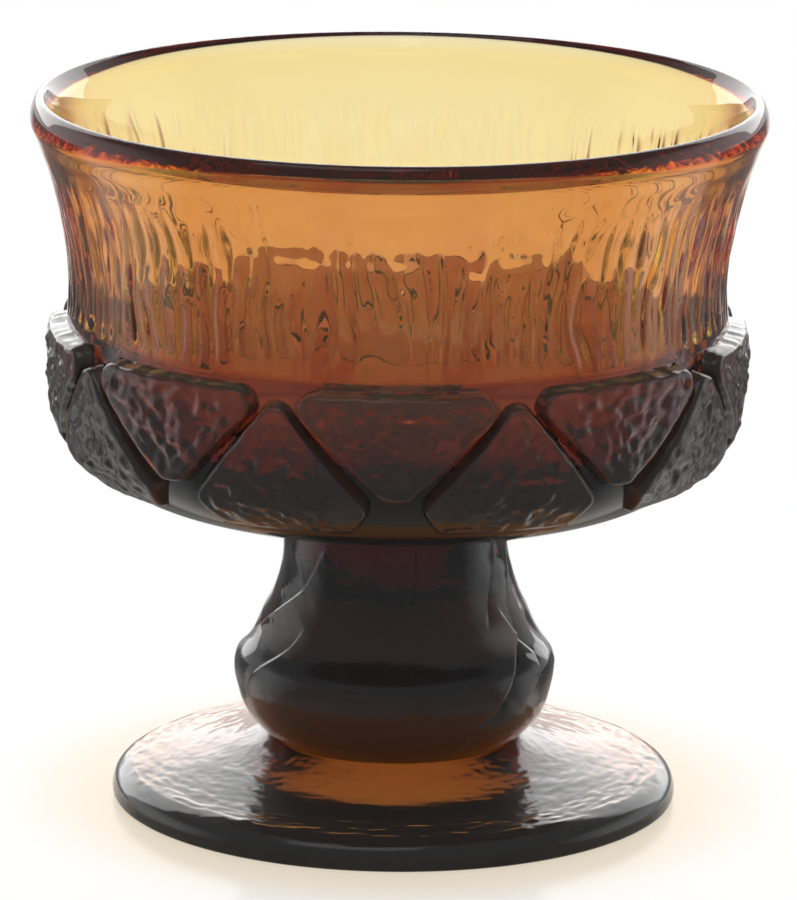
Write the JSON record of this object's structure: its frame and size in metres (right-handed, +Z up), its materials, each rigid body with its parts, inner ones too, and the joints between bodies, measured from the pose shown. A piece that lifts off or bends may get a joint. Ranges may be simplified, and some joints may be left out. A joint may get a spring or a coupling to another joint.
{
  "type": "sherbet glass",
  "caption": "Footed amber pressed-glass sherbet dish: ribbed bowl with a beaded rim, bands of raised petals below it, a knopped stem with twisted folds and a round foot.",
  "frame": {"origin": "centre of the foot's resting face", "axes": "+Z up along the axis of the glass; -Y towards the viewer of the picture, with one upper petal centred on it"},
  "size_m": [0.09, 0.09, 0.088],
  "materials": {
    "amber_glass_rim": "fire-polished smooth amber pressed glass",
    "amber_glass_bowl": "clear amber pressed glass, ribbed outside and smooth inside",
    "amber_glass_petal": "amber pressed glass with a lightly hammered, domed face",
    "amber_glass_stem": "thick amber pressed glass with soft twisted folds",
    "amber_glass_foot": "amber pressed glass with a fine wood-like grain on top"
  },
  "bodies": {
    "root": {"foot": "amber_glass_foot", "stem": "amber_glass_stem", "bowl_base": "amber_glass_bowl", "bowl_wall": "amber_glass_bowl", "rim": "amber_glass_rim", "upper_petal_1": "amber_glass_petal", "upper_petal_2": "amber_glass_petal", "upper_petal_3": "amber_glass_petal", "upper_petal_4": "amber_glass_petal", "upper_petal_5": "amber_glass_petal", "upper_petal_6": "amber_glass_petal", "upper_petal_7": "amber_glass_petal", "upper_petal_8": "amber_glass_petal", "upper_petal_9": "amber_glass_petal", "lower_petal_1": "amber_glass_petal", "lower_petal_2": "amber_glass_petal", "lower_petal_3": "amber_glass_petal", "lower_petal_4": "amber_glass_petal", "lower_petal_5": "amber_glass_petal", "lower_petal_6": "amber_glass_petal", "lower_petal_7": "amber_glass_petal", "lower_petal_8": "amber_glass_petal", "lower_petal_9": "amber_glass_petal"}
  },
  "joints": []
}
